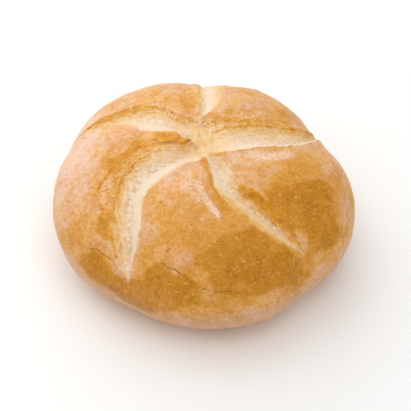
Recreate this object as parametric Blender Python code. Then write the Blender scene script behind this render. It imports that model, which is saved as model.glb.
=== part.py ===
"""A five-petalled bread roll: one baked loaf whose round top is split into petals by a star of torn seams.

Frame: origin at the middle of the flat foot, +Z up, +Y towards the back seam. Lengths are in metres.
The roll starts as a turned blank (a UV sphere), whose rings run from the hub of the star, over the
shoulder, to the middle of the foot. Each point of the blank is then placed on the roll's dome and pressed
in where a seam runs. The blank's columns follow the crust's torn edges, so that those edges are lines of
the mesh.
"""

from dataclasses import dataclass

import bmesh
import bpy
import numpy as np

# Driving dimensions
RADIUS = 0.0534  # of the plan, on average
HEIGHT = 0.0526  # of the dome before the seams sink into it
GIRTH_HEIGHT = 0.0211  # where the roll is widest
FOOT_RADIUS = 0.0330
FULLNESS = 2.17  # exponent of the dome's superellipse: 2 is an ellipse, more is squarer
HUB_SHIFT = (0.0005, 0.0035)  # the star's middle, from the dome's axis

# The plan isn't a circle: each wave gives (number of lobes, cosine share, sine share) of the radius.
PLAN_WAVES = ((2, 0.019, -0.026), (3, 0.004, -0.008), (4, 0.004, -0.002), (5, 0.010, -0.008))

# Petals
VALLEY_DEPTH = 0.0017  # how far the petals dip towards a seam
VALLEY_WIDTH = 0.0080
LIP_HEIGHT = 0.0008  # the crust's curled edge above a torn wall
LIP_WIDTH = 0.0024
FOLD_HEIGHT = 0.0008  # the front petal's folded rim beside the right front seam
FOLD_INSET = 0.0024  # from the seam's edge to the fold's top
FOLD_WIDTH = 0.0018
FOLD_SHARES = (0.20, 0.50)  # of the radius, where the fold starts and where it has run out

# Seams
WALL_DROP = 0.32  # share of a seam's depth that falls steeply at the torn wall's lip
WALL_RUN = 0.0011  # how far this drop runs out
FULL_WIDTH = 0.0060  # a narrower seam is shallower
BLEND_WIDTH = 0.0040  # over which one seam's depth and crease turn into the next one's at the hub
END_RUN = 0.12  # share of the radius over which a seam's edges close to its round end

# Where along the radius the bearings of a seam's two crust edges are given, as shares of the radius
STATIONS = (0.06, 0.14, 0.20, 0.27, 0.38, 0.55, 0.75, 1.00)


@dataclass(frozen=True)
class Seam:
    """One torn seam. Bearings are degrees anticlockwise from +X, at each of STATIONS."""

    name: str
    clockwise_edge: tuple
    anticlockwise_edge: tuple
    wall_is_clockwise: bool  # the torn wall hangs under this edge, and the smooth shoulder rises to the other
    crease: float  # where the seam is deepest, as a share of its width from the wall
    depth: float
    reach: float  # share of the radius where the seam ends


SEAMS = (
    Seam(
        name="back",
        clockwise_edge=(95, 97, 98, 84, 75, 79, 83, 85),
        anticlockwise_edge=(110, 103, 100, 95, 92, 91, 91, 91),
        wall_is_clockwise=False,
        crease=0.40,
        depth=0.0034,
        reach=0.98,
    ),
    Seam(
        name="left_back",
        clockwise_edge=(60, 75, 97, 126, 127, 137, 148, 163),
        anticlockwise_edge=(215, 168, 159, 161, 163, 156, 157, 160),
        wall_is_clockwise=True,
        crease=0.50,
        depth=0.0038,
        reach=0.92,
    ),
    Seam(
        name="left_front",
        clockwise_edge=(200, 204, 199, 191, 190, 194, 214, 238),
        anticlockwise_edge=(330, 295, 262, 240, 232, 228, 236, 241),
        wall_is_clockwise=True,
        crease=0.60,
        depth=0.0044,
        reach=0.99,
    ),
    Seam(
        name="right_front",
        clockwise_edge=(240, 262, 279, 281, 284, 291, 300, 310),
        anticlockwise_edge=(270, 290, 297, 305, 307, 310, 314, 319),
        wall_is_clockwise=False,
        crease=0.38,
        depth=0.0042,
        reach=0.93,
    ),
    Seam(
        name="right",
        clockwise_edge=(250, 295, 325, 340, 354, 362, 372, 388),
        anticlockwise_edge=(520, 485, 453, 413, 398, 389, 384, 392),
        wall_is_clockwise=False,
        crease=0.58,
        depth=0.0040,
        reach=1.00,
    ),
)

# The blank
COLUMNS_IN_SEAM = 8
COLUMNS_IN_PETAL = 10
RINGS = 46
TOP_RING_SHARE = 0.72  # share of the rings above the girth
GIRTH_RING_POWER = 0.92  # below 1 draws the top's rings towards the girth
LEAST_SEAM_FLOW = 3.0  # degrees that a seam's columns take up where it has run out
LEAST_PETAL_FLOW = 9.0  # degrees that a petal's columns take up inside the hub
EDGE_STEPS = 48  # points along each crust edge
HUB_LATITUDE = 0.16  # of the blank, out to which the petals' tips are softened
HUB_PASSES = 2  # of smoothing that soften them


def smooth_step(value):
    """0 below 0, 1 above 1, and a smooth rise in between."""
    clipped = np.clip(value, 0.0, 1.0)
    return clipped * clipped * (3.0 - 2.0 * clipped)


def through_stations(values, share):
    """A smooth curve through values at STATIONS, without overshoot, read at each share of the radius."""
    stations = np.array(STATIONS)
    heights = np.array(values, float)
    steepness = np.diff(heights) / np.diff(stations)
    product = steepness[:-1] * steepness[1:]
    total = np.where(product > 0.0, steepness[:-1] + steepness[1:], 1.0)
    middle_slopes = np.where(product > 0.0, 2.0 * product / total, 0.0)
    slopes = np.concatenate([steepness[:1], middle_slopes, steepness[-1:]])
    at = np.clip(share, stations[0], stations[-1])
    left = np.clip(np.searchsorted(stations, at, side="right") - 1, 0, len(stations) - 2)
    span = stations[left + 1] - stations[left]
    t = (at - stations[left]) / span
    rise = heights[left] * (2 * t**3 - 3 * t**2 + 1) + heights[left + 1] * (3 * t**2 - 2 * t**3)
    lean = slopes[left] * (t**3 - 2 * t**2 + t) + slopes[left + 1] * (t**3 - t**2)
    return rise + lean * span


def plan_radius(bearing):
    """The roll's outer radius in plan."""
    radius = np.ones_like(bearing)
    for lobes, cosine, sine in PLAN_WAVES:
        radius += cosine * np.cos(lobes * bearing) + sine * np.sin(lobes * bearing)
    return RADIUS * radius


def seam_edges(seam, share):
    """The bearings, in radians, of a seam's two crust edges."""
    clockwise = np.radians(through_stations(seam.clockwise_edge, share))
    anticlockwise = np.radians(through_stations(seam.anticlockwise_edge, share))
    middle = 0.5 * (clockwise + anticlockwise)
    half = 0.5 * (anticlockwise - clockwise) * np.sqrt(np.clip((seam.reach - share) / END_RUN, 0.0, 1.0))
    return middle - half, middle + half


def edge_lines(index):
    """Plan points along a seam's torn edge and its smooth edge, from the petals' tips to its end."""
    share = np.linspace(STATIONS[0], STATIONS[-1], EDGE_STEPS)
    clockwise, anticlockwise = seam_edges(SEAMS[index], share)
    before = seam_edges(SEAMS[index - 1], share)[1] - (2.0 * np.pi if index == 0 else 0.0)
    last = index == len(SEAMS) - 1
    after = seam_edges(SEAMS[0 if last else index + 1], share)[0] + (2.0 * np.pi if last else 0.0)
    is_open = anticlockwise > clockwise
    lines = []
    for bearing, in_petal in ((clockwise, clockwise > before), (anticlockwise, after > anticlockwise)):
        kept = is_open & in_petal
        line = share[kept, None] * RADIUS * np.stack([np.cos(bearing[kept]), np.sin(bearing[kept])], axis=1)
        lines.append(line)
    return lines if SEAMS[index].wall_is_clockwise else lines[::-1]


def distance_to(line, points):
    """The shortest distance in plan from each point to a line of points."""
    nearest = np.full(len(points), np.inf)
    for start, end in zip(line[:-1], line[1:]):
        run = end - start
        along = np.clip((points - start) @ run / (run @ run), 0.0, 1.0)
        nearest = np.minimum(nearest, np.linalg.norm(points - start - along[:, None] * run, axis=1))
    return nearest


def in_a_seam(share, bearing):
    """Whether a point lies between the two crust edges of any seam."""
    inside = np.zeros(share.shape, bool)
    for seam in SEAMS:
        clockwise, anticlockwise = seam_edges(seam, share)
        inside |= (bearing - clockwise) % (2.0 * np.pi) < anticlockwise - clockwise
    return inside


def seam_relief(share, bearing):
    """How far the crust lies above the plain dome along its normal.

    Below the girth the share goes on above 1, as if the roll's side were unrolled.
    """
    points = share[:, None] * RADIUS * np.stack([np.cos(bearing), np.sin(bearing)], axis=1)
    from_wall = np.full(len(points), np.inf)
    from_shoulder = np.full(len(points), np.inf)
    weights = np.zeros(len(points))
    depth = np.zeros(len(points))
    crease = np.zeros(len(points))
    from_fold = None
    for index, seam in enumerate(SEAMS):
        wall, shoulder = (distance_to(line, points) for line in edge_lines(index))
        from_wall = np.minimum(from_wall, wall)
        from_shoulder = np.minimum(from_shoulder, shoulder)
        weight = np.exp(-np.minimum(wall, shoulder) / BLEND_WIDTH)
        weights += weight
        depth += weight * seam.depth
        crease += weight * seam.crease
        if seam.name == "right_front":
            from_fold = shoulder - FOLD_INSET
    depth /= weights
    crease /= weights
    inside = in_a_seam(share, bearing)
    width = from_wall + from_shoulder
    across = from_wall / width
    wall = WALL_DROP * smooth_step(from_wall / WALL_RUN) + (1.0 - WALL_DROP) * smooth_step(across / crease)
    shoulder = 1.0 - np.sin(0.5 * np.pi * np.clip((across - crease) / (1.0 - crease), 0.0, 1.0))
    groove = inside * depth * smooth_step(width / FULL_WIDTH) * np.minimum(wall, shoulder)
    outside = np.where(inside, 0.0, np.minimum(from_wall, from_shoulder))
    valley = VALLEY_DEPTH * np.exp(-((outside / VALLEY_WIDTH) ** 2))
    lip = LIP_HEIGHT * np.exp(-((from_wall / np.where(inside, WALL_RUN, LIP_WIDTH)) ** 2))
    start, end = FOLD_SHARES
    along = (share - start) / (end - start)
    fold = FOLD_HEIGHT * np.exp(-((from_fold / FOLD_WIDTH) ** 2)) * np.sin(np.pi * np.clip(along, 0.0, 1.0))
    return lip - valley - groove + np.where(inside, 0.0, fold)


def flow_edges(share):
    """The bearings that the blank's columns follow: the seams' edges, kept in order and apart."""
    edges = [edge for seam in SEAMS for edge in seam_edges(seam, share)]
    edges.append(edges[0] + 2.0 * np.pi)
    edges = np.array(edges)
    least = np.radians(np.array(len(SEAMS) * [LEAST_SEAM_FLOW, LEAST_PETAL_FLOW]))[:, None]
    spare = np.clip(np.diff(edges, axis=0) - least, 0.0, None)
    widths = least + spare * (2.0 * np.pi - least.sum()) / spare.sum(axis=0)
    kept = np.vstack([np.zeros_like(share), np.cumsum(widths, axis=0)])
    return kept + (edges - kept)[:-1].mean(axis=0)


def column_bearing(share, turn):
    """The bearing of a column of the blank, from its turn of 0 to 1 round the blank."""
    edges = flow_edges(share)
    total = len(SEAMS) * (COLUMNS_IN_SEAM + COLUMNS_IN_PETAL)
    column = np.round(turn * total) % total
    bearing = np.zeros_like(share)
    first = 0
    for index in range(2 * len(SEAMS)):
        columns = COLUMNS_IN_PETAL if index % 2 else COLUMNS_IN_SEAM
        here = (column >= first) & (column < first + columns)
        along = (column - first) / columns
        bearing = np.where(here, edges[index] + along * (edges[index + 1] - edges[index]), bearing)
        first += columns
    return bearing


def meridian(latitude):
    """Share of the radius, height and outward normal (radial, up), from the hub at 0 to the foot at 1."""
    above = latitude < TOP_RING_SHARE
    top = 0.5 * np.pi * np.clip(latitude / TOP_RING_SHARE, 0.0, 1.0) ** GIRTH_RING_POWER
    below = 2.0 * np.clip((latitude - TOP_RING_SHARE) / (1.0 - TOP_RING_SHARE), 0.0, 1.0)
    side = 0.5 * np.pi * np.clip(below, 0.0, 1.0)
    foot = FOOT_RADIUS / RADIUS
    power = 2.0 / FULLNESS
    sine = np.clip(np.sin(top), 1e-9, 1.0)
    cosine = np.clip(np.cos(top), 1e-9, 1.0)
    lower = np.where(below <= 1.0, foot + (1.0 - foot) * np.cos(side), foot * (2.0 - below))
    share = np.where(above, sine**power, lower)
    dome = GIRTH_HEIGHT + (HEIGHT - GIRTH_HEIGHT) * cosine**power
    height = np.where(above, dome, GIRTH_HEIGHT * (1.0 - np.sin(side)))
    radial = np.where(above, sine ** (2 - power) / RADIUS, np.cos(side) / (RADIUS - FOOT_RADIUS))
    up = np.where(above, cosine ** (2 - power) / (HEIGHT - GIRTH_HEIGHT), -np.sin(side) / GIRTH_HEIGHT)
    length = np.hypot(radial, up)
    return share, height, radial / length, up / length, above


def place(latitude, turn):
    """The roll's surface at points of the blank, as rows of x, y, z."""
    share, height, radial, up, above = meridian(latitude)
    bearing = column_bearing(np.where(above, share, 1.0), turn)
    unrolled = np.where(above, share, 2.0 - share)
    fade = np.where(above, 1.0, smooth_step(height / GIRTH_HEIGHT))
    relief = fade * seam_relief(unrolled, bearing)
    outward = share * plan_radius(bearing) + relief * radial
    lean = np.where(above, 1.0 - share**2, 0.0)
    x = outward * np.cos(bearing) + HUB_SHIFT[0] * lean
    y = outward * np.sin(bearing) + HUB_SHIFT[1] * lean
    z = height + relief * up
    return np.stack([x, y, z], axis=1)


def bread_roll():
    """The whole roll, as one closed body that stands on its flat foot."""
    shape = bmesh.new()
    columns = len(SEAMS) * (COLUMNS_IN_SEAM + COLUMNS_IN_PETAL)
    bmesh.ops.create_uvsphere(shape, u_segments=columns, v_segments=RINGS, radius=1.0)
    blank = np.array([vertex.co for vertex in shape.verts])
    latitude = np.arccos(np.clip(blank[:, 2], -1.0, 1.0)) / np.pi
    turn = (np.arctan2(blank[:, 1], blank[:, 0]) / (2.0 * np.pi)) % 1.0
    placed = place(latitude, turn)
    middle = 0.5 * (placed.min(axis=0) + placed.max(axis=0))
    placed[:, :2] -= middle[:2]
    for vertex, point in zip(shape.verts, placed):
        vertex.co = point
    hub = [vertex for vertex, share in zip(shape.verts, latitude) if share < HUB_LATITUDE]
    for _ in range(HUB_PASSES):
        bmesh.ops.smooth_vert(shape, verts=hub, factor=0.5, use_axis_x=True, use_axis_y=True, use_axis_z=True)
    bmesh.ops.triangulate(shape, faces=shape.faces)
    mesh = bpy.data.meshes.new("bread_roll")
    shape.to_mesh(mesh)
    shape.free()
    mesh.shade_smooth()
    roll = bpy.data.objects.new("bread_roll", mesh)
    bpy.context.scene.collection.objects.link(roll)
    return roll


def baked_crust():
    """Golden crust: a light brown, satin, slightly uneven skin."""
    material = bpy.data.materials.new("baked_crust")
    material.use_nodes = True
    shader = material.node_tree.nodes["Principled BSDF"]
    shader.inputs["Base Color"].default_value = (0.67, 0.33, 0.11, 1.0)
    shader.inputs["Roughness"].default_value = 0.5
    shader.inputs["Metallic"].default_value = 0.0
    return material


for leftover in list(bpy.data.objects):
    bpy.data.objects.remove(leftover)
bread_roll().data.materials.append(baked_crust())
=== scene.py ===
"""The looks of the five-petalled bread roll: baked crust, torn seams, floor, light and camera.

The roll is one closed piece. A turned blank is laid on the same dome as the part's solid, with far smaller
faces, and gets what the solid leaves out: ragged edges, pulled ledges, pits, blisters, wrinkles and cracks.
Where the crust is browned, torn, golden or floury is worked out at each point as well, and the material
reads it from the mesh as attributes.
"""

from dataclasses import dataclass

import bmesh
import bpy
import numpy as np
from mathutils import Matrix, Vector, noise


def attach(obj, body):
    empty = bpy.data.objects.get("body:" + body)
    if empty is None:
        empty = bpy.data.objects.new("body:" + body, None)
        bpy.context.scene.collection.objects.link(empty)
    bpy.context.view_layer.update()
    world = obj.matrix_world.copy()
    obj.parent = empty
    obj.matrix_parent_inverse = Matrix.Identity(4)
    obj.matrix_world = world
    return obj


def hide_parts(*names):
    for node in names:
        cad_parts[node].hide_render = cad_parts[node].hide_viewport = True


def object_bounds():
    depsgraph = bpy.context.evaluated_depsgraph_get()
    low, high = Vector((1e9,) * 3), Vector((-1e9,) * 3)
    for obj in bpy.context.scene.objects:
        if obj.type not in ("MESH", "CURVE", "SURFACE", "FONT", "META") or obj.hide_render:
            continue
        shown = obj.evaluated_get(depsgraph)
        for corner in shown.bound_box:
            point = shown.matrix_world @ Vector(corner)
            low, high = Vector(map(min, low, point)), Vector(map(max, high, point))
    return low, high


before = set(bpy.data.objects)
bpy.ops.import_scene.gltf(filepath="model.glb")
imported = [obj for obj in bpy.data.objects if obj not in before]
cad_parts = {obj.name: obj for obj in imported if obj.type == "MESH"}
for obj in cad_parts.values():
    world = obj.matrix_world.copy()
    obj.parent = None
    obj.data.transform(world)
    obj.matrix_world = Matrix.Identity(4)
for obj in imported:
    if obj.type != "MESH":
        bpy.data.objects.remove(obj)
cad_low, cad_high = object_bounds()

MM = 0.001

# The roll's form, in metres: the solid's, but for a softer drop at the torn walls
RADIUS = 0.0534  # of the plan, on average
HEIGHT = 0.0526  # of the dome before the seams sink into it
GIRTH_HEIGHT = 0.0211  # where the roll is widest
FOOT_RADIUS = 0.0330
FULLNESS = 2.17  # exponent of the dome's superellipse: 2 is an ellipse, more is squarer
HUB_SHIFT = (0.0005, 0.0035)  # the star's middle, from the dome's axis
PLAN_WAVES = ((2, 0.019, -0.026), (3, 0.004, -0.008), (4, 0.004, -0.002), (5, 0.010, -0.008))
VALLEY_DEPTH = 0.0017  # how far the petals dip towards a seam
VALLEY_WIDTH = 0.0080
LIP_HEIGHT = 0.0008  # the crust's curled edge above a torn wall
LIP_WIDTH = 0.0024
FOLD_HEIGHT = 0.0008  # the front petal's folded rim beside the right front seam
FOLD_INSET = 0.0024  # from the seam's edge to the fold's top
FOLD_WIDTH = 0.0018
FOLD_SHARES = (0.20, 0.50)  # of the radius, where the fold starts and where it has run out
WALL_DROP = 0.20  # share of a seam's depth that falls steeply at the torn wall's lip
WALL_RUN = 0.0014
FULL_WIDTH = 0.0060  # a narrower seam is shallower
BLEND_WIDTH = 0.0040  # over which one seam turns into the next one at the hub
END_RUN = 0.12  # share of the radius over which a seam closes to its round end
STATIONS = (0.06, 0.14, 0.20, 0.27, 0.38, 0.55, 0.75, 1.00)  # shares of the radius where seams are given

# The blank's faces
COLUMNS_IN_SEAM = 36
COLUMNS_IN_PETAL = 92
PETAL_CROWDING = 0.4  # how far a petal's columns crowd towards its edges
RINGS = 150
TOP_RING_SHARE = 0.78  # share of the rings above the girth
GIRTH_RING_POWER = 0.92  # below 1 draws the top's rings towards the girth
LEAST_SEAM_FLOW = 3.0  # degrees that a seam's columns take up where it has run out
LEAST_PETAL_FLOW = 9.0  # degrees that a petal's columns take up inside the hub
EDGE_STEPS = 64  # points along each crust edge

# What the solid leaves out
WALL_RAGGEDNESS = 0.55 * MM  # how far a torn edge strays
WALL_TEAR_SIZE = 1.9 * MM  # of the bites along it
SHOULDER_RAGGEDNESS = 0.22 * MM
SHOULDER_TEAR_SIZE = 2.6 * MM
OPENING_RUN = 0.25 * MM  # over which closed crust turns into an open seam
CRUST_THICKNESS = 0.22 * MM  # the step from the smooth dough up to the crust
CRUST_ROUNDING = 2.5 * MM  # over which this step fades out on the petal
LEDGE_SPACING = 2.3 * MM  # between the ledges that the dough left on a torn wall
LEDGE_HEIGHT = 0.50 * MM
LEDGE_RISE = 0.3  # share of a ledge's spacing over which it rises
LEDGE_WANDER = 0.6  # share of a ledge's spacing by which it strays
LEDGE_WANDER_SIZE = (7 * MM, 4 * MM, 7 * MM)
PULLED_HEIGHT = 0.26 * MM  # of the short pulled strands on torn dough
PULLED_SIZE = (3.0 * MM, 0.8 * MM, 3.0 * MM)  # along the tear, across it, and along it
BUBBLE_DEPTH = 0.30 * MM  # of the bubbles torn open along the creases
BUBBLE_SIZE = 1.2 * MM
BESIDE_CREASE = 0.14  # share of a seam's width over which bubbles lie open beside its crease
SOFT_EDGE = 1.2  # millimetres: from here on a torn edge is a rounding without a lip
SHARPEST_EDGE = 0.08  # millimetres over which the colour of the sharpest edge changes
UNEVENNESS = 0.42 * MM  # of the petals' broad hollows and swellings
UNEVEN_SIZE = 15 * MM
WRINKLE_HEIGHT = 0.07 * MM
WRINKLE_SIZE = 1.7 * MM
BLISTER_SPACING = 3.4 * MM
BLISTER_RADIUS = 0.9 * MM
BLISTER_HEIGHT = 0.16 * MM


@dataclass(frozen=True)
class Seam:
    """One torn seam. Bearings are degrees anticlockwise from +X; each row of eight is read at STATIONS."""

    wall_is_clockwise: bool  # the side that tore and slopes down; the other side is a smooth shoulder
    reach: float  # share of the radius at which the seam ends
    clockwise_edge: tuple
    anticlockwise_edge: tuple
    crease: tuple  # share of the width, from the torn edge, where the seam is deepest
    depth: tuple  # millimetres
    wall_softness: tuple  # millimetres over which crust turns into torn dough
    shoulder_softness: tuple
    wall_gold: tuple  # how golden the dough baked, from 0, cream, to 1
    shoulder_gold: tuple
    scorch: tuple  # how far the torn edge browned to a thin line
    pitting: tuple  # how many torn bubbles lie open beside the crease


SEAMS = (
    Seam(
        wall_is_clockwise=False,
        reach=0.98,
        clockwise_edge=(95, 97, 97, 81, 74, 76, 78, 80),
        anticlockwise_edge=(110, 104, 101, 98, 95, 94, 94, 93),
        crease=(0.50, 0.50, 0.45, 0.40, 0.36, 0.34, 0.28, 0.25),
        depth=(2.4, 2.0, 1.5, 1.0, 0.8, 0.9, 1.4, 1.2),
        wall_softness=(1.2, 1.2, 1.4, 1.6, 1.8, 1.8, 1.8, 1.2),
        shoulder_softness=(0.5, 0.5, 0.5, 0.5, 0.6, 1.2, 1.6, 1.6),
        wall_gold=(0.45, 0.40, 0.35, 0.30, 0.30, 0.30, 0.35, 0.45),
        shoulder_gold=(0.30, 0.30, 0.25, 0.25, 0.30, 0.40, 0.45, 0.50),
        scorch=(0.0, 0.0, 0.0, 0.0, 0.0, 0.0, 0.0, 0.0),
        pitting=(0.0, 0.0, 0.0, 0.1, 0.1, 0.1, 0.1, 0.1),
    ),
    Seam(
        wall_is_clockwise=True,
        reach=0.92,
        clockwise_edge=(60, 75, 97, 126, 127, 137, 148, 163),
        anticlockwise_edge=(215, 168, 159, 161, 163, 156, 157, 160),
        crease=(0.5, 0.5, 0.5, 0.5, 0.5, 0.5, 0.5, 0.5),
        depth=(3.2, 3.2, 3.2, 3.0, 2.8, 2.3, 1.4, 0.6),
        wall_softness=(0.8, 0.8, 0.8, 0.6, 0.6, 0.5, 0.5, 0.5),
        shoulder_softness=(0.2, 0.2, 0.2, 0.3, 0.9, 1.4, 1.6, 1.6),
        wall_gold=(0.45, 0.45, 0.40, 0.38, 0.38, 0.50, 0.62, 0.70),
        shoulder_gold=(0.20, 0.20, 0.18, 0.12, 0.10, 0.30, 0.55, 0.60),
        scorch=(0.3, 0.3, 0.4, 0.5, 0.6, 0.7, 0.8, 0.8),
        pitting=(0.0, 0.2, 0.4, 0.6, 0.7, 0.5, 0.1, 0.0),
    ),
    Seam(
        wall_is_clockwise=True,
        reach=0.99,
        clockwise_edge=(200, 204, 199, 191, 190, 194, 214, 237),
        anticlockwise_edge=(330, 295, 262, 240, 232, 228, 236, 242),
        crease=(0.50, 0.52, 0.54, 0.55, 0.56, 0.56, 0.52, 0.50),
        depth=(3.6, 3.5, 3.4, 3.5, 3.7, 3.6, 3.2, 2.2),
        wall_softness=(0.4, 0.3, 0.3, 1.0, 2.0, 2.2, 1.6, 0.8),
        shoulder_softness=(0.5, 0.8, 0.9, 1.0, 1.0, 0.6, 0.25, 0.4),
        wall_gold=(0.30, 0.26, 0.26, 0.34, 0.52, 0.64, 0.62, 0.15),
        shoulder_gold=(0.10, 0.10, 0.10, 0.10, 0.10, 0.12, 0.14, 0.20),
        scorch=(0.0, 0.0, 0.0, 0.0, 0.0, 0.1, 0.4, 0.0),
        pitting=(0.1, 0.3, 0.6, 0.9, 1.0, 1.0, 0.9, 0.7),
    ),
    Seam(
        wall_is_clockwise=False,
        reach=0.93,
        clockwise_edge=(240, 262, 279, 282, 281, 290, 301, 315),
        anticlockwise_edge=(270, 291, 301, 305, 304, 311, 315, 319),
        crease=(0.45, 0.45, 0.45, 0.45, 0.46, 0.48, 0.46, 0.45),
        depth=(2.8, 2.2, 1.6, 1.3, 1.5, 2.4, 2.0, 0.9),
        wall_softness=(1.2, 1.0, 0.7, 0.6, 0.6, 0.2, 0.4, 1.4),
        shoulder_softness=(0.2, 0.15, 0.15, 0.15, 0.3, 0.4, 0.4, 1.2),
        wall_gold=(0.15, 0.05, 0.00, 0.00, 0.15, 1.00, 0.90, 0.70),
        shoulder_gold=(0.05, 0.05, 0.05, 0.05, 0.28, 0.62, 0.68, 0.75),
        scorch=(0.0, 0.0, 0.0, 0.0, 0.2, 1.0, 0.6, 0.2),
        pitting=(0.0, 0.0, 0.0, 0.1, 0.5, 1.0, 1.0, 0.5),
    ),
    Seam(
        wall_is_clockwise=False,
        reach=1.00,
        clockwise_edge=(250, 295, 325, 340, 354, 362, 372, 388),
        anticlockwise_edge=(520, 485, 453, 413, 398, 389, 384, 392),
        crease=(0.60, 0.62, 0.66, 0.70, 0.74, 0.76, 0.74, 0.70),
        depth=(3.2, 3.2, 3.3, 3.3, 3.2, 3.0, 2.7, 2.2),
        wall_softness=(1.0, 1.0, 1.2, 1.6, 1.8, 1.8, 1.4, 1.0),
        shoulder_softness=(0.2, 0.12, 0.12, 0.12, 0.12, 0.12, 0.15, 0.4),
        wall_gold=(0.50, 0.52, 0.56, 0.60, 0.60, 0.58, 0.56, 0.52),
        shoulder_gold=(0.10, 0.10, 0.12, 0.15, 0.18, 0.20, 0.25, 0.40),
        scorch=(0.2, 0.2, 0.3, 0.3, 0.3, 0.3, 0.3, 0.3),
        pitting=(0.0, 0.1, 0.3, 0.4, 0.4, 0.4, 0.3, 0.2),
    ),
)
FOLDED_SEAM = 3  # the right front seam, beside which the front petal is folded

# Where the oven browned the crust more than elsewhere, or less:
# (bearing, share of the radius, reach, strength)
BROWNED = (
    (287, 0.86, 14 * MM, 0.42),
    (262, 0.96, 11 * MM, 0.30),
    (302, 0.88, 10 * MM, 0.30),
    (328, 0.74, 11 * MM, 0.37),
    (334, 0.90, 8 * MM, 0.16),
    (318, 0.92, 8 * MM, 0.24),
    (315, 0.89, 4 * MM, -0.42),
    (305, 1.00, 10 * MM, 0.13),
    (234, 0.94, 5 * MM, -0.40),
    (250, 0.92, 4 * MM, 0.22),
    (327, 0.52, 7 * MM, 0.07),
    (314, 1.00, 8 * MM, 0.20),
    (330, 0.97, 6 * MM, 0.14),
    (345, 0.80, 5 * MM, 0.24),
    (269, 0.91, 4 * MM, -0.10),
    (200, 0.75, 4 * MM, 0.16),
    (246, 1.00, 10 * MM, 0.22),
    (197, 0.95, 9 * MM, -0.45),
    (318, 0.66, 6 * MM, 0.14),
    (224, 0.99, 9 * MM, 0.44),
    (240, 1.00, 8 * MM, 0.34),
    (182, 0.42, 6 * MM, 0.26),
    (192, 0.62, 7 * MM, 0.42),
    (213, 0.79, 5 * MM, 0.12),
    (221, 0.84, 5 * MM, 0.28),
    (271, 0.50, 7 * MM, 0.14),
    (105, 0.40, 9 * MM, 0.26),
    (174, 0.86, 13 * MM, -0.90),
    (150, 0.92, 11 * MM, -0.60),
    (125, 0.82, 10 * MM, -0.50),
    (45, 0.90, 11 * MM, -0.40),
    (250, 0.45, 7 * MM, -0.10),
    (238, 0.95, 3 * MM, -0.30),
    (260, 0.87, 3 * MM, -0.16),
)

# Marks along the crust, each through points given as (bearing, share of the radius).
# The flake at the left petal's tip is (reach, points), twice; the strands cross the hub; the tongue is the
# brown crust between the fold's crease and the right front seam; the pits are single points.
TIP_FLAKE = ((2.4 * MM, ((178, 0.27), (178, 0.20))), (2.1 * MM, ((195, 0.15), (211, 0.10))))
FOLD_CREASE = ((266, 0.23), (270, 0.32), (274, 0.42), (279, 0.50), (284, 0.58))
CRACKS = (
    (
        (252, 0.88),
        (255, 0.89),
        (259, 0.90),
        (264, 0.92),
        (270, 0.95),
        (275, 0.96),
        (280, 0.96),
        (285, 0.97),
    ),
    ((218, 0.96), (222, 0.94), (226, 0.95), (230, 0.95), (233, 0.97), (236, 0.98)),
)
STRANDS = (
    ((101, 0.16), (117, 0.07), (226, 0.06)),
    ((79, 0.13), (53, 0.05), (297, 0.05)),
    ((63, 0.16), (34, 0.07), (315, 0.06)),
)

# Floury, blistered streaks, with painted glints on the blisters: (width, strength, points)
FLOURY_AND_GLINTING_STREAKS = (
    (2.4 * MM, 0.5, ((250, 0.33), (256, 0.36))),
    (3.0 * MM, 0.6, ((256, 0.40), (262, 0.44), (268, 0.50))),
    (1.5 * MM, 1.0, ((265, 0.38), (269, 0.44), (273, 0.49), (277, 0.55), (280, 0.60))),
    (0.6 * MM, 0.8, ((266, 0.25), (268, 0.33), (267, 0.38))),
    (2.6 * MM, 0.9, ((340, 0.34), (342, 0.41), (350, 0.51), (355, 0.56))),
    (1.4 * MM, 0.6, ((318, 0.28), (308, 0.29))),
    (1.2 * MM, 0.5, ((330, 0.49), (334, 0.51))),
)

# Thin edges that stuck up and browned first: (width, strength, points)
BROWNED_EDGES = (
    (1.1 * MM, 1.0, ((274, 0.18), (274, 0.21))),
    (1.1 * MM, 1.0, ((302, 0.18), (318, 0.19))),
    (
        1.0 * MM,
        0.75,
        ((186, 0.34), (184, 0.41), (187, 0.48), (189, 0.54), (195, 0.62), (199, 0.68), (203, 0.76)),
    ),
    (0.8 * MM, 0.5, ((210, 0.78), (216, 0.80), (220, 0.83))),
    (0.9 * MM, 0.8, ((224, 0.85), (228, 0.89), (231, 0.93))),
    (0.7 * MM, 0.6, ((198, 0.36), (197, 0.42), (200, 0.50), (203, 0.56), (208, 0.63), (218, 0.76))),
    (
        0.5 * MM,
        0.65,
        ((156, 0.86), (149, 0.79), (141, 0.70), (136, 0.57), (131, 0.42), (124, 0.27), (95, 0.18)),
    ),
    (0.7 * MM, 0.6, ((158, 0.79), (155, 0.75), (155, 0.69), (152, 0.65))),
    (0.6 * MM, 0.85, ((57, 0.13), (40, 0.20), (30, 0.30), (27, 0.41), (24, 0.52), (22, 0.67), (24, 0.85))),
    (0.6 * MM, 0.6, ((75, 0.19), (54, 0.26), (42, 0.35), (34, 0.45), (30, 0.55), (29, 0.67))),
    (2.4 * MM, 0.40, ((84, 0.16), (60, 0.20), (44, 0.29), (34, 0.40), (28, 0.54), (26, 0.68))),
    (2.4 * MM, 0.36, ((190, 0.34), (191, 0.45), (197, 0.58), (208, 0.72))),
    (1.8 * MM, 0.34, ((128, 0.27), (133, 0.42), (138, 0.57), (143, 0.70))),
    (0.7 * MM, 0.9, ((304, 0.46), (308, 0.51), (311, 0.55), (313, 0.62), (315, 0.68))),
    (0.4 * MM, 0.7, ((325, 0.20), (340, 0.27), (354, 0.38), (362, 0.55), (371, 0.75))),
    (0.5 * MM, 0.6, ((243, 0.55), (241, 0.61), (239, 0.67))),
    (0.9 * MM, 0.7, ((254, 0.81), (256, 0.82))),
)
TONGUE = ((275, 0.22), (279, 0.35), (283, 0.46), (286, 0.56))
PITS = ((210, 0.31), (302, 0.24), (77, 0.61), (161, 0.84), (183, 0.93), (351, 0.24))
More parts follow.
